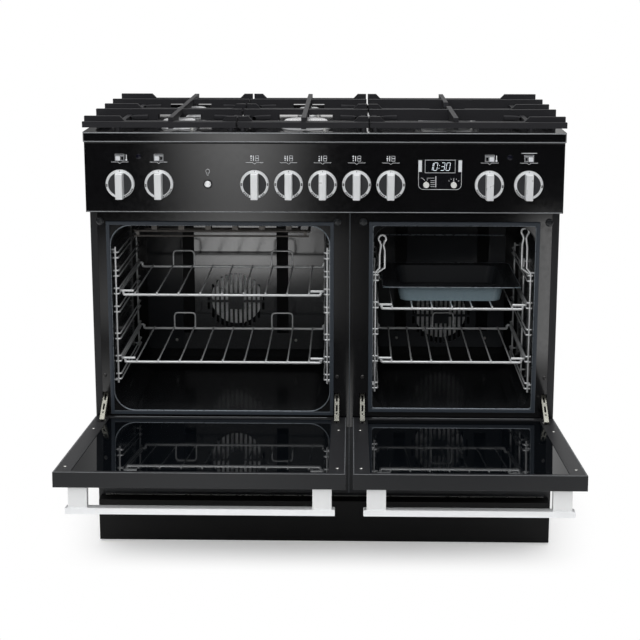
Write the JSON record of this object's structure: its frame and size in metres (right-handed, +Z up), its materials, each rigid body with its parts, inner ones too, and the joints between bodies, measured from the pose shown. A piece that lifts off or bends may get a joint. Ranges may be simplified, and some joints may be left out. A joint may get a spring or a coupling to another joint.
{
  "type": "range cooker",
  "caption": "Free-standing range cooker: gas hob with cast-iron pan supports over two electric ovens with drop-down doors, wire shelves, control panel and plinth.",
  "frame": {"origin": "on the floor, under the middle of the cooker's box with its doors open", "axes": "+Z up, the front and its open doors face -Y, +X to the right as the cook sees it"},
  "size_m": [1, 1.038, 0.929],
  "materials": {
    "black_enamel": "gloss black vitreous enamel",
    "grey_enamel": "gloss dark grey vitreous enamel",
    "black_painted_steel": "satin black paint",
    "zinc_steel": "zinc-plated steel",
    "stainless_steel": "plain stainless steel",
    "chromed_wire": "chromed wire",
    "chrome": "polished chrome",
    "cast_aluminium": "satin cast aluminium",
    "cast_iron": "matt black cast iron",
    "brass": "plain machined brass",
    "white_plastic": "gloss white moulding",
    "black_plastic": "gloss black moulding",
    "lamp_plastic": "dark blue translucent lens, unlit",
    "dark_glass": "dark reflective oven glass",
    "seal_rubber": "blue-grey silicone seal"
  },
  "bodies": {
    "cabinet": {"levelling_feet": "zinc_steel", "base_tray": "zinc_steel", "plinth": "black_painted_steel", "side_panel_left": "black_painted_steel", "side_panel_right": "black_painted_steel", "back_panel": "zinc_steel", "front_frame": "black_enamel", "lower_fascia": "black_painted_steel", "control_panel": "black_enamel", "hob_top": "black_enamel", "gas_rail": "zinc_steel", "gas_taps": "brass", "oven_switches": "white_plastic", "burner_heads": "cast_aluminium", "burner_caps": "cast_aluminium", "liner_left": "black_enamel", "liner_right": "black_enamel", "oven_seals": "seal_rubber", "ladders_left": "chromed_wire", "ladders_right": "chromed_wire", "fan_cover_left": "grey_enamel", "fan_cover_right": "grey_enamel", "grill_element": "stainless_steel", "ring_elements": "stainless_steel", "fan_motors": "zinc_steel", "timer_module": "black_plastic", "indicator_lamps": "lamp_plastic", "hinge_arms": "zinc_steel"},
    "door_left": {"door_panel_left": "black_enamel", "door_frame_left": "black_painted_steel", "door_glass_left": "dark_glass", "door_handle_left": "chrome"},
    "stays_left": {"hinge_stays_left": "zinc_steel"},
    "door_right": {"door_panel_right": "black_enamel", "door_frame_right": "black_painted_steel", "door_glass_right": "dark_glass", "door_handle_right": "chrome"},
    "stays_right": {"hinge_stays_right": "zinc_steel"},
    "shelf_left_upper": {"shelf_left_upper": "chromed_wire"},
    "shelf_left_lower": {"shelf_left_lower": "chromed_wire"},
    "shelf_right_lower": {"shelf_right_lower": "chromed_wire"},
    "fan_left": {"fan_left": "stainless_steel"},
    "fan_right": {"fan_right": "stainless_steel"},
    "pan_support_left": {"pan_support_left": "cast_iron"},
    "pan_support_centre": {"pan_support_centre": "cast_iron"},
    "pan_support_right": {"pan_support_right": "cast_iron"},
    "timer_selector": {"timer_selector": "chrome"},
    "timer_setter": {"timer_setter": "chrome"},
    "light_button": {"light_button": "white_plastic"},
    "knob_1": {"knob_1": "chrome"},
    "knob_2": {"knob_2": "chrome"},
    "knob_3": {"knob_3": "chrome"},
    "knob_4": {"knob_4": "chrome"},
    "knob_5": {"knob_5": "chrome"},
    "knob_6": {"knob_6": "chrome"},
    "knob_7": {"knob_7": "chrome"},
    "knob_8": {"knob_8": "chrome"},
    "knob_9": {"knob_9": "chrome"},
    "shelf_right_upper": {"shelf_right_upper": "chromed_wire", "grill_pan": "black_enamel"}
  },
  "joints": [
    {"name": "door_left_hinge", "type": "hinge", "parent": "cabinet", "child": "door_left", "pos_m": [-0.223, -0.06005, 0.268], "axis": [-1, 0, 0], "range_deg": [0, 85]},
    {"name": "stays_left_hinge", "type": "hinge", "parent": "door_left", "child": "stays_left", "pos_m": [-0.223, -0.09187, 0.28283], "axis": [-1, 0, 0], "range_deg": [-75, 0]},
    {"name": "door_right_hinge", "type": "hinge", "parent": "cabinet", "child": "door_right", "pos_m": [0.2785, -0.06005, 0.268], "axis": [-1, 0, 0], "range_deg": [0, 85]},
    {"name": "stays_right_hinge", "type": "hinge", "parent": "door_right", "child": "stays_right", "pos_m": [0.2785, -0.09187, 0.28283], "axis": [-1, 0, 0], "range_deg": [-75, 0]},
    {"name": "knob_1_turn", "type": "hinge", "parent": "cabinet", "child": "knob_1", "pos_m": [-0.4235, -0.09005, 0.791], "axis": [0, 1, 0], "range_deg": [0, 270]},
    {"name": "knob_2_turn", "type": "hinge", "parent": "cabinet", "child": "knob_2", "pos_m": [-0.3425, -0.09005, 0.791], "axis": [0, 1, 0], "range_deg": [0, 270]},
    {"name": "knob_3_turn", "type": "hinge", "parent": "cabinet", "child": "knob_3", "pos_m": [-0.1435, -0.09005, 0.791], "axis": [0, -1, 0], "range_deg": [0, 210]},
    {"name": "knob_4_turn", "type": "hinge", "parent": "cabinet", "child": "knob_4", "pos_m": [-0.073, -0.09005, 0.791], "axis": [0, -1, 0], "range_deg": [0, 210]},
    {"name": "knob_5_turn", "type": "hinge", "parent": "cabinet", "child": "knob_5", "pos_m": [-0.0025, -0.09005, 0.791], "axis": [0, -1, 0], "range_deg": [0, 210]},
    {"name": "knob_6_turn", "type": "hinge", "parent": "cabinet", "child": "knob_6", "pos_m": [0.068, -0.09005, 0.791], "axis": [0, -1, 0], "range_deg": [0, 210]},
    {"name": "knob_7_turn", "type": "hinge", "parent": "cabinet", "child": "knob_7", "pos_m": [0.1385, -0.09005, 0.791], "axis": [0, -1, 0], "range_deg": [0, 210]},
    {"name": "knob_8_turn", "type": "hinge", "parent": "cabinet", "child": "knob_8", "pos_m": [0.3425, -0.09005, 0.791], "axis": [0, 1, 0], "range_deg": [0, 270]},
    {"name": "knob_9_turn", "type": "hinge", "parent": "cabinet", "child": "knob_9", "pos_m": [0.4235, -0.09005, 0.791], "axis": [0, 1, 0], "range_deg": [0, 270]},
    {"name": "timer_selector_turn", "type": "hinge", "parent": "cabinet", "child": "timer_selector", "pos_m": [0.212, -0.08504, 0.791], "axis": [0, 1, 0], "range_deg": [-60, 60]},
    {"name": "timer_setter_turn", "type": "hinge", "parent": "cabinet", "child": "timer_setter", "pos_m": [0.269, -0.08504, 0.791], "axis": [0, 1, 0], "continuous": true},
    {"name": "light_button_press", "type": "slide", "parent": "cabinet", "child": "light_button", "axis": [0, 1, 0], "range_m": [0, 0.003], "stiffness_N_per_m": 400},
    {"name": "shelf_left_upper_slide", "type": "slide", "parent": "cabinet", "child": "shelf_left_upper", "axis": [0, 1, 0], "range_m": [-0.25, 0]},
    {"name": "shelf_left_lower_slide", "type": "slide", "parent": "cabinet", "child": "shelf_left_lower", "axis": [0, 1, 0], "range_m": [-0.25, 0]},
    {"name": "shelf_right_upper_slide", "type": "slide", "parent": "cabinet", "child": "shelf_right_upper", "axis": [0, 1, 0], "range_m": [-0.25, 0]},
    {"name": "shelf_right_lower_slide", "type": "slide", "parent": "cabinet", "child": "shelf_right_lower", "axis": [0, 1, 0], "range_m": [-0.25, 0]},
    {"name": "pan_support_left_lift", "type": "slide", "parent": "cabinet", "child": "pan_support_left", "axis": [0, 0, 1], "range_m": [0, 0.12]},
    {"name": "pan_support_centre_lift", "type": "slide", "parent": "cabinet", "child": "pan_support_centre", "axis": [0, 0, 1], "range_m": [0, 0.12]},
    {"name": "pan_support_right_lift", "type": "slide", "parent": "cabinet", "child": "pan_support_right", "axis": [0, 0, 1], "range_m": [0, 0.12]},
    {"name": "fan_left_spin", "type": "hinge", "parent": "cabinet", "child": "fan_left", "pos_m": [-0.2205, 0.37995, 0.438], "axis": [0, 1, 0], "continuous": true},
    {"name": "fan_right_spin", "type": "hinge", "parent": "cabinet", "child": "fan_right", "pos_m": [0.275, 0.37995, 0.405], "axis": [0, 1, 0], "continuous": true}
  ],
  "couplings": [
    {"joint": "stays_left_hinge", "follows": "door_left_hinge", "ratio": -0.8706},
    {"joint": "stays_right_hinge", "follows": "door_right_hinge", "ratio": -0.8706}
  ]
}
